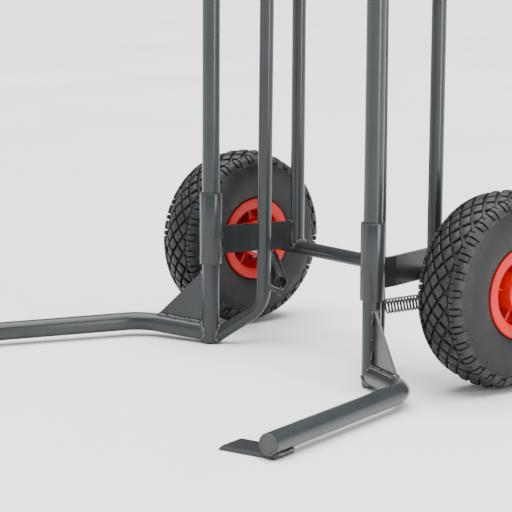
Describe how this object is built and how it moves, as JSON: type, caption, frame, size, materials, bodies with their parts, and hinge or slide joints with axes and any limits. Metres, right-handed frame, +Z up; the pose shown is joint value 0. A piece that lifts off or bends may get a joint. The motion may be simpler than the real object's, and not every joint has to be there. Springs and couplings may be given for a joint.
{
  "type": "hand truck",
  "caption": "Two-wheeled hand truck for stacked tyres, a tube frame with two sprung gripper arms that turn about their uprights.",
  "frame": {"origin": "on the floor, below the middle of the whole truck's box", "axes": "+X to the truck's right as its user stands behind it, -Y forward towards the forks, +Z up"},
  "size_m": [0.7604, 0.7142, 1.259],
  "materials": {
    "frame": "semi-gloss anthracite powder coat",
    "rim": "glossy red moulded plastic",
    "tyre": "matte black rubber with block tread",
    "inner_tube": "smooth butyl rubber",
    "valve": "black rubber stem with a plastic cap",
    "steel": "zinc plated",
    "spring": "oil blackened spring wire",
    "grip": "ribbed black rubber",
    "bush": "moulded black nylon",
    "plug": "grey moulded plastic",
    "cap": "black moulded plastic"
  },
  "bodies": {
    "frame": {"axle": "frame", "left_rear_tube": "frame", "right_rear_tube": "frame", "mid_cross_tube": "frame", "top_cross_tube": "frame", "left_side_plate": "frame", "right_side_plate": "frame", "left_upper_plate": "frame", "right_upper_plate": "frame", "left_lower_sleeve": "frame", "right_lower_sleeve": "frame", "left_upper_sleeve": "frame", "right_upper_sleeve": "frame", "lower_bushes": "bush", "upper_bushes": "bush", "left_grip": "grip", "right_grip": "grip", "spring_pegs": "frame", "left_spring": "spring", "right_spring": "spring", "wheel_collars": "steel", "outer_washers": "steel", "axle_caps": "steel"},
    "left_arm": {"left_upright": "frame", "left_fork": "frame", "left_gusset": "frame", "left_tip_plate": "frame", "left_fork_plug": "plug", "left_lever": "frame", "left_lug": "frame", "left_foot_cap": "frame", "left_top_cap": "cap", "left_collar": "steel"},
    "right_arm": {"right_upright": "frame", "right_fork": "frame", "right_gusset": "frame", "right_tip_plate": "frame", "right_fork_plug": "plug", "right_lever": "frame", "right_lug": "frame", "right_foot_cap": "frame", "right_top_cap": "cap", "right_collar": "steel"},
    "left_wheel": {"left_tyre": "tyre", "left_inner_tube": "inner_tube", "left_rim_outer": "rim", "left_rim_inner": "rim", "left_bearings": "steel", "left_rim_bolts": "steel", "left_valve": "valve"},
    "right_wheel": {"right_tyre": "tyre", "right_inner_tube": "inner_tube", "right_rim_outer": "rim", "right_rim_inner": "rim", "right_bearings": "steel", "right_rim_bolts": "steel", "right_valve": "valve"}
  },
  "joints": [
    {"name": "left_arm_turn", "type": "hinge", "parent": "frame", "child": "left_arm", "pos_m": [-0.1713, -0.00888, 0], "axis": [0, 0, -1], "range_deg": [-20, 28], "stiffness_Nm_per_rad": 14.4, "deforming": ["left_spring"]},
    {"name": "right_arm_turn", "type": "hinge", "parent": "frame", "child": "right_arm", "pos_m": [0.1713, -0.00888, 0], "axis": [0, 0, 1], "range_deg": [-20, 28], "stiffness_Nm_per_rad": 14.4, "deforming": ["right_spring"]},
    {"name": "left_wheel_spin", "type": "hinge", "parent": "frame", "child": "left_wheel", "pos_m": [-0.2734, 0.12812, 0.13], "axis": [1, 0, 0], "continuous": true},
    {"name": "right_wheel_spin", "type": "hinge", "parent": "frame", "child": "right_wheel", "pos_m": [0.2734, 0.12812, 0.13], "axis": [1, 0, 0], "continuous": true}
  ]
}
